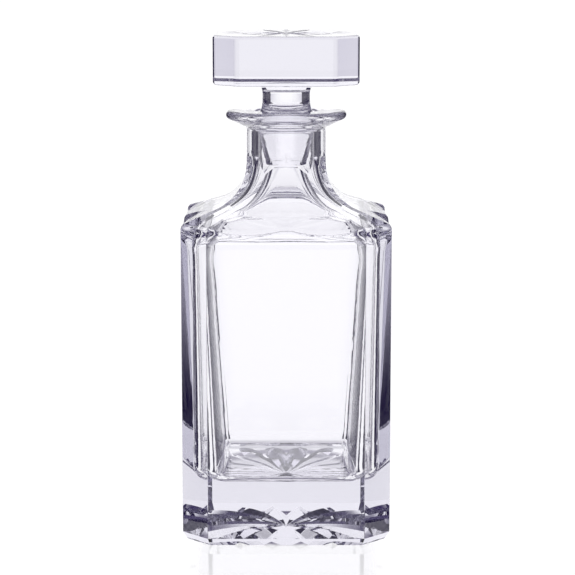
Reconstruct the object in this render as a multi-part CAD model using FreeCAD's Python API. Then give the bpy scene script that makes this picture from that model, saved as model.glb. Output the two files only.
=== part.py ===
import FreeCAD, Part
import math
import os

# Square cut crystal decanter: a thick bottle with cut corners and a ground stopper.
# Millimetres, +Z up. The origin is the middle of the foot, on the surface it stands on.

os.makedirs("parts", exist_ok=True)

Vector = FreeCAD.Vector
UP = Vector(0, 0, 1)
CENTRE = Vector(0, 0, 0)

# ---- bottle, outside ----
half_width = 48.0             # axis to the middle of a wall
corner_cut = 12.0             # leg of the 45 degree cut on each upright corner
wall_top = 147.3              # where the walls turn into the shoulder
wall_slope = 20.0             # rise of the shoulder above a wall, in degrees
wall_sweep = 20.0             # radius of its sweep up into the neck
corner_slope = 16.0           # the same two for the shoulder above a cut corner
corner_sweep = 24.0
neck_radius = 18.5
neck_flare = 12.0             # radius where the facets die out into the round neck
neck_bottom = 176.0           # the neck is round from here up
foot_bevel = 2.2              # bevel around the foot: inwards, then its height
foot_bevel_height = 3.6
upright_round = 0.5           # rounding of the upright edges
shoulder_round = 3.0          # rounding of the edge between walls and shoulder
scallop_depth = 1.5           # two shallow scallops on each shoulder make its edge a bow
scallop_width = 33.0
scallop_offset = 17.6         # from the middle of the wall to the middle of a scallop
scallop_slope = 27.0          # steeper than the shoulder, so that a scallop runs out uphill
scallop_length = 17.0

# ---- lip ----
lip_radius = 28.2
lip_top = 196.8
lip_rim = 4.4                 # thickness at the rim
lip_root = 187.4              # where the underside leaves the neck
lip_root_round = 2.4
mouth_round = 1.6             # rounding of the mouth's edge

# ---- bottle, inside ----
bore_radius = 13.1
cavity_floor = 28.0
floor_half = 37.4             # half width of the hollow at its floor
ceiling_half = 39.9           # half width under the shoulder
floor_corner = 13.5           # corner radius of the hollow, seen from above
ceiling_corner = 6.5
floor_round = 5.6
ceiling_round = 11.0
neck_wall = neck_radius - bore_radius
bore_overlap = 2.0            # the straight bore starts this far above the bottom of the neck
tool_over = 1.0               # how far the cutting tools reach past the glass

# ---- ground joint ----
seat_clearance = 0.05         # gap between the ground plug and its seat
plug_top = 191.5
plug_top_radius = 13.9
plug_tip = 170.6
plug_tip_radius = 9.2
plug_tip_round = 0.8

# ---- stopper ----
waist_radius = 11.2
waist_height = 201.0
waist_flare = 7.5             # height over which the waist widens to the top of the plug
head_half_width = 33.5
head_corner_cut = 11.3
head_bottom = 209.7
head_top = 232.4
head_upright_round = 5.5      # rounding of the head's edges: upright, top and bottom
head_top_round = 1.4
head_bottom_round = 1.8
dish_radius = 5.0             # fillet between the waist and the head

# ---- star cuts: depth, where it is deepest, half length, half width to depth of the V ----
foot_star = dict(rays=22, depth=3.2, middle=28.0, reach=33.0, spread=1.7)
head_star = dict(rays=16, depth=1.3, middle=15.0, reach=17.0, spread=1.5)


def turned(shape, angle):
    """Copy of a shape, turned about the upright axis."""
    copy = shape.copy()
    copy.rotate(CENTRE, UP, angle)
    return copy


def revolved(edges):
    """Solid of revolution about the upright axis, from a closed half profile."""
    wire = Part.Wire(Part.__sortEdges__(edges))
    return Part.Face(wire).revolve(CENTRE, UP, 360)


def line(a, b):
    return Part.makeLine(Vector(a[0], 0, a[1]), Vector(b[0], 0, b[1]))


def arc(a, mid, b):
    return Part.Arc(Vector(a[0], 0, a[1]), Vector(mid[0], 0, mid[1]), Vector(b[0], 0, b[1])).toShape()


def corner_reach(half, cut):
    """Distance from the axis to a 45 degree cut across the corner of a square."""
    return (2.0 * half - cut) / math.sqrt(2.0)


def sweep_points(edge, z_edge, slope, radius, upright):
    """Shoulder line in one quarter: slope from the wall, then a sweep to upright.

    Returns the start, middle and end of the sweep as (distance, height) pairs,
    and the centre of its arc.
    """
    tilt = math.radians(slope)
    centre_x = upright + radius
    low_x = centre_x - radius * math.sin(tilt)
    low_z = z_edge + (edge - low_x) * math.tan(tilt)
    centre_z = low_z + radius * math.cos(tilt)
    half = math.radians(45.0 + slope / 2.0)
    mid = (centre_x - radius * math.sin(half), centre_z - radius * math.cos(half))
    return (low_x, low_z), mid, (upright, centre_z), (centre_x, centre_z)


def shoulder_slab(edge, z_edge, slope, radius, upright, top, width):
    """Block with the bevel, wall and shoulder line on both sides, its length along Y."""
    low, mid, high = sweep_points(edge, z_edge, slope, radius, upright)[:3]
    foot = (edge - foot_bevel, 0)
    heel = (edge, foot_bevel_height)
    half = [line(foot, heel), line(heel, (edge, z_edge)), line((edge, z_edge), low),
            arc(low, mid, high), line(high, (upright, top)), line((upright, top), (0, top))]
    other = [e.mirror(CENTRE, Vector(1, 0, 0)) for e in half]
    base = line(foot, (-foot[0], 0))
    face = Part.Face(Part.Wire(Part.__sortEdges__(half + other + [base])))
    face.translate(Vector(0, -width / 2.0, 0))
    return face.extrude(Vector(0, width, 0))


def scallop_cutter(side):
    """Tool for one scallop: a shallow round-bottomed channel on one side of a wall's middle."""
    tilt = math.radians(scallop_slope)
    half = scallop_width / 2.0
    radius = (half * half + scallop_depth * scallop_depth) / (2.0 * scallop_depth)
    reach = math.sqrt(radius * radius - (radius - scallop_depth - tool_over) ** 2)
    # section across the channel, square to its own slope, where it starts at the wall
    outward = Vector(math.sin(tilt), 0, math.cos(tilt))
    uphill = Vector(-math.cos(tilt), 0, math.sin(tilt))
    start = Vector(half_width, side * scallop_offset, wall_top) - uphill
    sideways = Vector(0, reach, 0)
    left = start + outward * tool_over - sideways
    right = start + outward * tool_over + sideways
    bottom = start - outward * scallop_depth
    section = Part.Face(Part.Wire([Part.Arc(left, bottom, right).toShape(), Part.makeLine(right, left)]))
    return section.extrude(uphill * scallop_length)


def parabola(curve, x0, x1):
    """Edge from x0 to x1 of a curve that gives (y, z) and its rate of change at x."""
    y0, z0, rate_y, rate_z = curve(x0)
    y1, z1 = curve(x1)[:2]
    half = (x1 - x0) / 2.0
    bezier = Part.BezierCurve()
    bezier.setPoles([
        Vector(x0, y0, z0),
        Vector(x0 + half, y0 + rate_y * half, z0 + rate_z * half),
        Vector(x1, y1, z1),
    ])
    return bezier.toShape()


def star_cutter(rays, depth, middle, reach, spread):
    """Tool for a star of V cuts that radiate from the axis, each one lens shaped.

    The valley of each cut is a shallow parabola. Neighbouring cuts meet in ridges
    near the middle and part further out, where they leave the flat surface between.
    """
    half_pitch = math.tan(math.pi / rays)
    tip = middle + reach

    def valley(x):
        return depth * (1.0 - ((x - middle) / reach) ** 2)

    def slope(x):
        return -2.0 * depth * (x - middle) / (reach * reach)

    def on_valley(x):
        return 0.0, valley(x), 0.0, slope(x)

    def on_ridge(x):
        rise = half_pitch / spread
        return x * half_pitch, valley(x) - x * rise, half_pitch, slope(x) - rise

    def on_outline(x):
        return spread * valley(x), 0.0, spread * slope(x), 0.0

    # distance along the cut where the ridge comes down to the flat
    a = -depth / (reach * reach)
    b = 2.0 * depth * middle / (reach * reach) - half_pitch / spread
    parting = (-b - math.sqrt(b * b - 4.0 * a * valley(0.0))) / (2.0 * a)

    outline = parabola(on_outline, parting, tip)
    below = Vector(0, 0, -tool_over)
    flank = [
        Part.makeRuledSurface(parabola(on_valley, 0.0, parting), parabola(on_ridge, 0.0, parting)),
        Part.makeRuledSurface(parabola(on_valley, parting, tip), outline),
        outline.extrude(below),
    ]
    low_outline = outline.copy()
    low_outline.translate(below)
    across = Vector(0, 1, 0)
    cut = flank + [f.mirror(CENTRE, across) for f in flank]
    rim = [low_outline, low_outline.mirror(CENTRE, across)]
    faces = []
    edges = []
    for ray in range(rays):
        angle = 360.0 * ray / rays
        faces += [turned(f, angle) for f in cut]
        edges += [turned(e, angle) for e in rim]
    lid = Part.Face(Part.Wire(Part.__sortEdges__(edges)))
    shell = Part.Shell(faces + [lid])
    shell.sewShape()
    return Part.Solid(shell)


def is_upright(edge):
    """True for the upright edges between the walls and the cut corners."""
    box = edge.BoundBox
    return box.XLength + box.YLength < upright_round and box.ZLength > wall_top / 2.0


def is_bow(edge):
    """True for the edges where the walls and the cut corners meet the shoulder."""
    box = edge.BoundBox
    return box.ZMin > wall_top - 2.0 * scallop_depth and box.ZMax < wall_top + scallop_depth / 2.0


def bottle_outside():
    """Walls, cut corners, scalloped shoulder and neck, as one solid block of glass."""
    cut_reach = corner_reach(half_width, corner_cut)
    top = lip_root + tool_over
    span = 4.0 * half_width
    walls = shoulder_slab(half_width, wall_top, wall_slope, wall_sweep, neck_radius, top, span)
    corners = shoulder_slab(cut_reach, wall_top, corner_slope, corner_sweep, neck_radius, top, span)
    block = walls.common(turned(walls, 90))
    block = block.common(turned(corners, 45))
    block = block.common(turned(corners, 135))
    flare_end = (neck_radius + neck_flare, neck_bottom - neck_flare)
    sag = neck_flare * math.sqrt(0.5)
    flare_mid = (flare_end[0] - sag, neck_bottom - sag)
    around = revolved([
        line((0, -tool_over), (span, -tool_over)), line((span, -tool_over), (span, flare_end[1])),
        line((span, flare_end[1]), flare_end), arc(flare_end, flare_mid, (neck_radius, neck_bottom)),
        line((neck_radius, neck_bottom), (neck_radius, top)), line((neck_radius, top), (0, top)),
        line((0, top), (0, -tool_over)),
    ])
    block = block.common(around)
    block = block.cut([turned(scallop_cutter(side), 90 * wall) for wall in range(4) for side in (-1, 1)])
    block = block.makeFillet(shoulder_round, [e for e in block.Edges if is_bow(e)])
    return block.makeFillet(upright_round, [e for e in block.Edges if is_upright(e)])


def lip():
    """Flat collar around the mouth, with a rounded rim and a filleted root."""
    root = lip_root_round
    rim_low = lip_top - lip_rim
    bulge = lip_rim / 2.0
    rim_x = lip_radius - bulge
    under = (neck_radius + root, lip_root + root)
    root_mid = (neck_radius + root * (1 - math.sqrt(0.5)), lip_root + root * math.sqrt(0.5))
    return revolved([
        line((0, lip_root), (neck_radius, lip_root)),
        arc((neck_radius, lip_root), root_mid, under),
        line(under, (rim_x, rim_low)),
        arc((rim_x, rim_low), (lip_radius, lip_top - bulge), (rim_x, lip_top)),
        line((rim_x, lip_top), (0, lip_top)),
        line((0, lip_top), (0, lip_root)),
    ])


def hollow_profile(floor_x, ceiling_x, edge, slope, radius):
    """Distance from the axis to the inside of the glass, as a function of height."""
    centre_x, centre_z = sweep_points(edge, wall_top, slope, radius, neck_radius)[3]
    tilt = math.radians(slope)
    inner = radius + neck_wall
    low_x = centre_x - inner * math.sin(tilt)
    low_z = centre_z - inner * math.cos(tilt)
    lean = (ceiling_x - floor_x) / (low_z - (ceiling_x - low_x) * math.tan(tilt) - cavity_floor)
    # centre of the round between the leaning wall and the sloping ceiling
    wall_x = floor_x - ceiling_round * math.sqrt(1.0 + lean * lean) - lean * cavity_floor
    roof_z = low_z + low_x * math.tan(tilt) - ceiling_round / math.cos(tilt)
    round_z = (roof_z - wall_x * math.tan(tilt)) / (1.0 + lean * math.tan(tilt))
    round_x = wall_x + lean * round_z
    round_start = round_z - ceiling_round * math.sin(math.atan(lean))
    round_end = round_z + ceiling_round * math.cos(tilt)

    def distance(z):
        above_floor = z - cavity_floor
        if z <= cavity_floor + floor_round:
            wall = floor_x + lean * floor_round
            return wall - floor_round + math.sqrt(floor_round ** 2 - (floor_round - above_floor) ** 2)
        if z <= round_start:
            return floor_x + lean * above_floor
        if z <= round_end:
            return round_x + math.sqrt(ceiling_round ** 2 - (z - round_z) ** 2)
        if z <= low_z:
            return low_x + (low_z - z) / math.tan(tilt)
        if z <= centre_z:
            return centre_x - math.sqrt(inner ** 2 - (centre_z - z) ** 2)
        return bore_radius

    return distance, round_start, round_end, low_z


def hollow_section(half, corner, z):
    """Square with rounded corners, or a full circle once next to nothing of its sides is left."""
    shortest_side = 0.5
    side = half - corner
    edges = []
    if side < shortest_side:
        stub = math.radians(5.0)
        for quarter in range(4):
            base = quarter * math.pi / 2.0
            for a, b in ((base - stub, base + stub), (base + stub, base + math.pi / 2.0 - stub)):
                points = [Vector(half * math.cos(t), half * math.sin(t), z) for t in (a, (a + b) / 2.0, b)]
                edges.append(Part.Arc(*points).toShape())
        return Part.Wire(edges)
    diagonal = side + corner * math.sqrt(0.5)
    for quarter in range(4):
        turn = FreeCAD.Rotation(UP, 90 * quarter)
        a, b, mid, c = [turn.multVec(Vector(x, y, z)) for x, y in
                        ((half, -side), (half, side), (diagonal, diagonal), (side, half))]
        edges.append(Part.makeLine(a, b))
        edges.append(Part.Arc(b, mid, c).toShape())
    return Part.Wire(edges)


def hollow():
    """The space inside, from the floor up to the round bore of the neck, and its height."""
    def rounded_reach(half, corner):
        return (half - corner) * math.sqrt(2.0) + corner

    side, start, end, low = hollow_profile(floor_half, ceiling_half, half_width, wall_slope, wall_sweep)
    diagonal = hollow_profile(rounded_reach(floor_half, floor_corner),
                              rounded_reach(ceiling_half, ceiling_corner),
                              corner_reach(half_width, corner_cut), corner_slope, corner_sweep)[0]
    floor_turns = [math.radians(a) for a in (0, 12, 25, 38, 52, 66, 80)]
    wall_shares = (0.02, 0.1, 0.25, 0.5, 0.75, 0.9, 0.98)
    ceiling_shares = (0.2, 0.4, 0.6, 0.78, 0.9, 1.0)
    neck_shares = (0.0, 0.08, 0.2, 0.35, 0.5, 0.65, 0.8, 1.0)
    wall_low = cavity_floor + floor_round
    throat = neck_bottom + bore_overlap
    heights = [cavity_floor + floor_round * (1.0 - math.cos(a)) for a in floor_turns]
    heights += [wall_low + (start - wall_low) * share for share in wall_shares]
    heights += [start + (end - start) * share for share in ceiling_shares]
    heights += [low + (throat - low) * share for share in neck_shares]
    sections = []
    for z in heights:
        half = side(z)
        corner = (half * math.sqrt(2.0) - diagonal(z)) / (math.sqrt(2.0) - 1.0)
        sections.append(hollow_section(half, min(corner, half), z))
    return Part.makeLoft(sections, True, False), throat


def bore(bottom):
    """Round bore, the ground seat and the rounded mouth, above the hollow."""
    slope = (plug_top_radius - plug_tip_radius) / (plug_top - plug_tip)
    gap = seat_clearance * math.sqrt(1.0 + slope * slope)
    seat_low = plug_tip + (bore_radius - gap - plug_tip_radius) / slope
    seat_top = (plug_top_radius + gap, plug_top)
    mouth = lip_top - mouth_round
    mouth_x = seat_top[0] + (mouth - plug_top) * slope
    round_x = mouth_x + mouth_round
    mid = (round_x - mouth_round * math.sqrt(0.5), mouth + mouth_round * math.sqrt(0.5))
    over = lip_top + tool_over
    return revolved([
        line((0, bottom), (bore_radius, bottom)), line((bore_radius, bottom), (bore_radius, seat_low)),
        line((bore_radius, seat_low), (mouth_x, mouth)), arc((mouth_x, mouth), mid, (round_x, lip_top)),
        line((round_x, lip_top), (round_x, over)), line((round_x, over), (0, over)),
        line((0, over), (0, bottom)),
    ])


def decanter_body():
    glass = bottle_outside().fuse(lip())
    space, space_top = hollow()
    glass = glass.cut(space)
    glass = glass.cut(bore(space_top))
    glass = glass.cut(star_cutter(**foot_star))
    return glass


def stopper():
    """Solid glass: square head with cut corners, waist, and a ground tapered plug."""
    reach = head_half_width - head_corner_cut
    corners = []
    for quarter in range(4):
        turn = FreeCAD.Rotation(UP, 90 * quarter)
        corners += [turn.multVec(Vector(head_half_width, y, head_bottom)) for y in (-reach, reach)]
    block = Part.Face(Part.makePolygon(corners + corners[:1])).extrude(Vector(0, 0, head_top - head_bottom))
    middle = (head_bottom + head_top) / 2.0
    uprights = [e for e in block.Edges if e.BoundBox.ZMin < middle < e.BoundBox.ZMax]
    block = block.makeFillet(head_upright_round, uprights)
    tops = [e for e in block.Edges if e.BoundBox.ZMin > middle]
    block = block.makeFillet(head_top_round, tops)
    bottoms = [e for e in block.Edges if e.BoundBox.ZMax < middle]
    block = block.makeFillet(head_bottom_round, bottoms)
    star = star_cutter(**head_star)
    star.rotate(CENTRE, Vector(1, 0, 0), 180)
    star.translate(Vector(0, 0, head_top))
    block = block.cut(star)

    quarter_turn = 1.0 - math.sqrt(0.5)
    inside = head_bottom + dish_radius
    dish = (waist_radius + dish_radius, head_bottom)
    dish_mid = (waist_radius + dish_radius * quarter_turn, head_bottom - dish_radius * quarter_turn)
    dish_low = (waist_radius, head_bottom - dish_radius)

    widening = plug_top_radius - waist_radius
    flare_radius = (waist_flare * waist_flare + widening * widening) / (2.0 * widening)
    half_turn = math.asin(waist_flare / flare_radius) / 2.0
    flare_mid = (waist_radius + flare_radius * (1.0 - math.cos(half_turn)),
                 waist_height - flare_radius * math.sin(half_turn))
    flare_low = (plug_top_radius, waist_height - waist_flare)

    taper = (plug_top_radius - plug_tip_radius) / (plug_top - plug_tip)
    tip = (plug_tip_radius - plug_tip_round, plug_tip)
    tip_mid = (plug_tip_radius - plug_tip_round * quarter_turn, plug_tip + plug_tip_round * quarter_turn)
    tip_side = (plug_tip_radius + plug_tip_round * taper, plug_tip + plug_tip_round)
    plug_shoulder = (plug_top_radius, plug_top)
    stem = revolved([
        line((0, plug_tip), tip), arc(tip, tip_mid, tip_side), line(tip_side, plug_shoulder),
        line(plug_shoulder, flare_low), arc(flare_low, flare_mid, (waist_radius, waist_height)),
        line((waist_radius, waist_height), dish_low), arc(dish_low, dish_mid, dish),
        line(dish, (dish[0], inside)), line((dish[0], inside), (0, inside)), line((0, inside), (0, plug_tip)),
    ])
    return block.fuse(stem).removeSplitter()


parts = {"decanter_body": decanter_body(), "stopper": stopper()}
for name, shape in parts.items():
    print(name, "solids", len(shape.Solids), "valid", shape.isValid(), "volume", round(shape.Volume))
    shape.exportStep("parts/" + name + ".step")
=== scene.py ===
import math
import bmesh
import bpy
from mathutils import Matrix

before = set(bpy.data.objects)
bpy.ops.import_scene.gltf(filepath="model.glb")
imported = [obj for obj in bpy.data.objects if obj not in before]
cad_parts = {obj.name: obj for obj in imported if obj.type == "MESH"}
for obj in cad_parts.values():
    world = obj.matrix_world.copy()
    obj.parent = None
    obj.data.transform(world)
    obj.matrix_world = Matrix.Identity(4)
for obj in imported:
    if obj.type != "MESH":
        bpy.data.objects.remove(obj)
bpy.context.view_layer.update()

print("frame loaded:", ", ".join(sorted(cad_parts)))


class Sock:
    # wraps one output socket, so that shader maths reads like plain arithmetic
    def __init__(self, tree, socket):
        self.tree = tree
        self.socket = socket

    def maths(self, operation, first, second=0.0):
        return self.tree.node("ShaderNodeMath", {"operation": operation}, {0: first, 1: second})

    def __add__(self, other):
        return self.maths("ADD", self, other)

    def __radd__(self, other):
        return self.maths("ADD", other, self)

    def __sub__(self, other):
        return self.maths("SUBTRACT", self, other)

    def __rsub__(self, other):
        return self.maths("SUBTRACT", other, self)

    def __mul__(self, other):
        return self.maths("MULTIPLY", self, other)

    def __rmul__(self, other):
        return self.maths("MULTIPLY", other, self)

    def __truediv__(self, other):
        return self.maths("DIVIDE", self, other)

    def __rtruediv__(self, other):
        return self.maths("DIVIDE", other, self)

    def __pow__(self, other):
        return self.maths("POWER", self, other)

    def __rpow__(self, other):
        return self.maths("POWER", other, self)

    def __abs__(self):
        return self.maths("ABSOLUTE", self)


class Tree:
    # the nodes of one material, or of the world
    def __init__(self, name, owner=None):
        self.owner = owner or bpy.data.materials.new(name)
        self.owner.use_nodes = True
        self.nodes = self.owner.node_tree.nodes
        self.links = self.owner.node_tree.links
        self.nodes.clear()

    def node(self, kind, settings=None, inputs=None, output=0):
        made = self.nodes.new(kind)
        for key, value in (settings or {}).items():
            if key == "stops":
                self.setStops(made.color_ramp, value)
            else:
                setattr(made, key, value)
        for key, value in (inputs or {}).items():
            if isinstance(value, Sock):
                self.links.new(value.socket, made.inputs[key])
            else:
                made.inputs[key].default_value = value
        return Sock(self, made.outputs[output]) if made.outputs else None

    def setStops(self, ramp, stops):
        while len(ramp.elements) < len(stops):
            ramp.elements.new(0.5)
        for element, (place, colour) in zip(ramp.elements, stops):
            element.position = place
            element.color = colour

    def place(self, coordinates="Object"):
        return self.node("ShaderNodeTexCoord", None, None, coordinates)

    def split(self, vector):
        parts = self.node("ShaderNodeSeparateXYZ", None, {0: vector}).socket.node
        return [Sock(self, part) for part in parts.outputs]

    def smooth(self, value, low, high):
        # soft step from 0 to 1 while value goes from low to high
        return self.node("ShaderNodeMapRange", {"interpolation_type": "SMOOTHSTEP"},
                         {"Value": value, "From Min": low, "From Max": high})

    def blend(self, factor, first, second):
        # the colour sockets of a colour mix are its seventh and eighth, and its colour output the third
        return self.node("ShaderNodeMix", {"data_type": "RGBA"}, {0: factor, 6: first, 7: second}, 2)

    def finish(self, shader, volume=None):
        ends = {"Surface": shader}
        if volume:
            ends["Volume"] = volume
        self.node("ShaderNodeOutputMaterial", None, ends)
        return self.owner


# crystal: clear lead glass, polished all over but for the ground joint
crystal = {
    "tint": (0.980, 0.977, 0.995, 1.0),
    "ior": 1.54,
    "polish": 0.0,             # roughness of the polished faces
    "ground": 0.07,            # roughness of the ground joint
    "groundEdge": 0.0006,      # how softly the ground band ends
    "grainScale": 2600.0,      # the fine grain of the ground glass
    "grainDetail": 2.0,
    "grainFrost": (0.75, 0.5),     # least share of the roughness, and how much the grain adds
    "grainHeight": 0.000004,
    "deepTint": (0.74, 0.73, 0.80, 1.0),   # what thick glass does to the light
    "deepTintDensity": 12.0,
}

# where the glass is ground: from this height to that one, and no further out than the radius
bottleGround = {"low": 0.1850, "high": 0.1915, "radius": 0.0146}
stopperGround = {"low": 0.1704, "high": 0.1894, "radius": 0.0146}


def crystalMaterial(name, band):
    tree = Tree(name)
    place = tree.place()
    x, y, z = tree.split(place)
    edge = crystal["groundEdge"]
    above = tree.smooth(z, band["low"] - edge, band["low"] + edge)
    below = 1 - tree.smooth(z, band["high"] - edge, band["high"] + edge)
    inside = 1 - tree.smooth((x * x + y * y) ** 0.5, band["radius"], band["radius"] + edge)
    ground = above * below * inside
    grain = tree.node("ShaderNodeTexNoise", None, {
        "Vector": place,
        "Scale": crystal["grainScale"],
        "Detail": crystal["grainDetail"],
    })
    least, more = crystal["grainFrost"]
    shader = tree.node("ShaderNodeBsdfPrincipled", None, {
        "Base Color": crystal["tint"],
        "Roughness": crystal["polish"] + crystal["ground"] * (ground * (least + more * grain)),
        "IOR": crystal["ior"],
        "Transmission Weight": 1.0,
        "Normal": tree.node("ShaderNodeBump", None, {
            "Height": ground * grain * crystal["grainHeight"],
            "Strength": 1.0,
            "Distance": 1.0,
        }),
    })
    depth = tree.node("ShaderNodeVolumeAbsorption", None,
                      {"Color": crystal["deepTint"], "Density": crystal["deepTintDensity"]})
    return tree.finish(shader, depth)


for nodeName, groundBand in (("decanter_body", bottleGround), ("stopper", stopperGround)):
    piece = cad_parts[nodeName]
    piece.data.materials.clear()
    piece.data.materials.append(crystalMaterial(nodeName + "_crystal", groundBand))
print("crystal on both pieces")


def newObject(name, data):
    made = bpy.data.objects.new(name, data)
    bpy.context.scene.collection.objects.link(made)
    return made


def meshFrom(name, build):
    work = bmesh.new()
    build(work)
    mesh = bpy.data.meshes.new(name)
    work.to_mesh(mesh)
    work.free()
    return mesh


# floor: wide, flat and glowing, with a painted shadow ring round the foot's rim and a faint mirror
# beside it, and a painted pool of light that dims the far floor to the sides
paleFloor = {
    "half": 40.0,
    "glow": 1.18,
    "colour": (0.9, 0.9, 0.91, 1.0),
    "matt": 0.12,              # share of plain diffuse floor, for a soft shadow
    "footRadius": 0.06,        # the ring's places are shares of this radius
    # painted shadow: the floor is painted dark in a ring under the foot's rim, and left pale inside and
    # outside it
    "footShade": (
        (0.0, (0.98, 0.97, 1.0, 1.0)),
        (0.58, (0.98, 0.97, 1.0, 1.0)),
        (0.66, (0.16, 0.14, 0.22, 1.0)),
        (0.72, (0.16, 0.14, 0.22, 1.0)),
        (0.80, (1.0, 1.0, 1.0, 1.0)),
    ),
    "poolPlace": 0.98,         # painted pool of light: the bright floor narrows towards a point this far in front of the glass, under the camera
    "poolEdge": (0.15, 0.42),  # how far to the side, for each metre from that point, it fades
    "poolNearest": 0.5,        # closer to that point than this it narrows no more
    "poolBehind": (0.2, 0.6),  # the fading starts this far behind the glass
    "paintedPoolShade": (0.72, 0.71, 0.77, 1.0),   # and the painted shade it fades to
    "shine": 0.35,             # share of mirror close to the glass
    "shineColour": (1.0, 1.0, 1.0, 1.0),
    "shineRoughness": 0.07,
    "shineSide": (0.036, 0.046),   # how far to the side the mirror fades
    "shineOut": (0.08, 0.15),      # and how far out all round
}


def floorMaterial():
    tree = Tree("paleFloor")
    x, y = tree.split(tree.place())[:2]
    across = abs(x)
    radius = (x * x + y * y) ** 0.5
    # the painted shadow ring round the foot, by distance from the middle
    shade = tree.node("ShaderNodeValToRGB", {"stops": paleFloor["footShade"]},
                      {0: radius / paleFloor["footRadius"]})
    # painted pool of light: the far floor behind the glass is painted darker towards the sides
    ahead = tree.node("ShaderNodeMath", {"operation": "MAXIMUM"},
                      {0: y + paleFloor["poolPlace"], 1: paleFloor["poolNearest"]})
    paintedPoolFade = tree.smooth(across / ahead, *paleFloor["poolEdge"])
    paintedPoolFade = paintedPoolFade * tree.smooth(y, *paleFloor["poolBehind"])
    lit = tree.blend(paintedPoolFade, shade, paleFloor["paintedPoolShade"])
    glow = tree.node("ShaderNodeEmission", None, {"Color": lit, "Strength": paleFloor["glow"]})
    matt = tree.node("ShaderNodeBsdfDiffuse", None, {"Color": paleFloor["colour"]})
    shine = tree.node("ShaderNodeBsdfGlossy", None, {
        "Color": paleFloor["shineColour"],
        "Roughness": paleFloor["shineRoughness"],
    })
    mirror = paleFloor["shine"] * (1 - tree.smooth(across, *paleFloor["shineSide"]))
    mirror = mirror * (1 - tree.smooth(radius, *paleFloor["shineOut"]))
    base = tree.node("ShaderNodeMixShader", None, {0: paleFloor["matt"], 1: glow, 2: matt})
    return tree.finish(tree.node("ShaderNodeMixShader", None, {0: mirror, 1: base, 2: shine}))


def makeFloor():
    def build(work):
        bmesh.ops.create_grid(work, x_segments=1, y_segments=1, size=paleFloor["half"])
    floor = newObject("floor", meshFrom("floor", build))
    floor.data.materials.append(floorMaterial())


# cards: four dark strips round the glass, which give the cut edges their dark lines
darkCards = {
    "azimuths": (53.0, 127.0, 233.0, 307.0),   # from straight behind, clockwise seen from above
    "span": 50.0,              # degrees that each card covers
    "segments": 8,
    "toe": 0.085,              # each card is bent at its foot and runs in towards the glass
    "distance": 0.15,
    "lift": 0.0008,            # clearance over the floor
    "height": 0.27,
    "colour": (0.012, 0.007, 0.04, 1.0),
    "behind": (0.0, 0.005),    # only the two cards behind have what follows
    "paleGlowColour": (1.0, 0.98, 1.06, 1.0),   # their outer ends have a painted pale band that glows
    "paleGlowRise": (0.105, 0.13),
    "paleGlowFall": (0.152, 0.164),
    "paleGlowSide": (0.08, 0.10),
    "endShare": 0.55,          # and the last stretch of each is painted paler upwards, glowing more towards the top
    "endRise": (0.01, 0.12),
    "endSide": (0.04, 0.06),
}


def cardMaterial():
    tree = Tree("darkCard")
    y, z = tree.split(tree.place())[1:]
    # painted light: the two cards behind glow pale in a band at their outer ends, and their ends are
    # painted paler upwards
    band = tree.smooth(z, *darkCards["paleGlowRise"]) * (1 - tree.smooth(z, *darkCards["paleGlowFall"]))
    band = band * (1 - tree.smooth(y, *darkCards["paleGlowSide"]))
    end = tree.smooth(z, *darkCards["endRise"]) * (1 - tree.smooth(y, *darkCards["endSide"]))
    paleGlow = (band + darkCards["endShare"] * end) * tree.smooth(y, *darkCards["behind"])
    colour = tree.blend(paleGlow, darkCards["colour"], darkCards["paleGlowColour"])
    return tree.finish(tree.node("ShaderNodeEmission", None, {"Color": colour}))


def makeCard(azimuth, cloth):
    # a strip, bent at its foot and spun part of the way round the upright axis
    far, lift, span = darkCards["distance"], darkCards["lift"], darkCards["span"]
    corners = ((darkCards["toe"], lift), (far, lift), (far, darkCards["height"]))

    def build(work):
        start = math.radians(90.0 - azimuth - span / 2.0)
        points = [work.verts.new((out * math.cos(start), out * math.sin(start), up))
                  for out, up in corners]
        strips = [work.edges.new(pair) for pair in zip(points, points[1:])]
        bmesh.ops.spin(work, geom=points + strips, cent=(0, 0, 0), axis=(0, 0, 1), dvec=(0, 0, 0),
                       angle=math.radians(span), steps=darkCards["segments"], use_duplicate=False)
    card = newObject("card_%d" % azimuth, meshFrom("card", build))
    card.data.materials.append(cloth)
    card.visible_camera = False
    card.visible_diffuse = False
    card.visible_shadow = False


# sky: bright behind the glass, dim in front of it, dark overhead
sky = {
    "back": (1.2, 1.2, 1.2, 1.0),
    "front": (0.20, 0.18, 0.26, 1.0),
    "top": (0.06, 0.045, 0.13, 1.0),
    "turn": (-0.15, 0.45),     # where it goes from front to back
    "dusk": (0.66, 0.86),      # height on the dome where it goes dark
}


def makeSky():
    world = bpy.data.worlds.new("studioSky")
    bpy.context.scene.world = world
    tree = Tree("studioSky", world)
    y, z = tree.split(tree.place("Generated"))[1:]
    around = tree.blend(tree.smooth(y, *sky["turn"]), sky["front"], sky["back"])
    colour = tree.blend(tree.smooth(z, *sky["dusk"]), around, sky["top"])
    glow = tree.node("ShaderNodeBackground", None, {"Color": colour})
    tree.node("ShaderNodeOutputWorld", None, {"Surface": glow})


makeFloor()
darkCard = cardMaterial()
for cardAzimuth in darkCards["azimuths"]:
    makeCard(cardAzimuth, darkCard)
makeSky()
print("studio set")


# camera: a little above the stopper, looking down on the foot
view = {
    "lens": 131.5,
    "sensor": 36.0,
    "place": (0.0006, -0.9794, 0.2819),
    "tilt": 80.19,
}

# how often light may bounce: it crosses many glass walls
lightPaths = {"max_bounces": 32, "transmission_bounces": 32, "glossy_bounces": 24}


def makeCamera():
    camera = bpy.data.cameras.new("camera")
    camera.lens = view["lens"]
    camera.sensor_width = view["sensor"]
    holder = newObject("camera", camera)
    holder.location = view["place"]
    holder.rotation_euler = (math.radians(view["tilt"]), 0.0, 0.0)
    bpy.context.scene.camera = holder


makeCamera()
scene = bpy.context.scene
scene.view_settings.view_transform = "Standard"
for setting, count in lightPaths.items():
    setattr(scene.cycles, setting, count)
print("camera set")
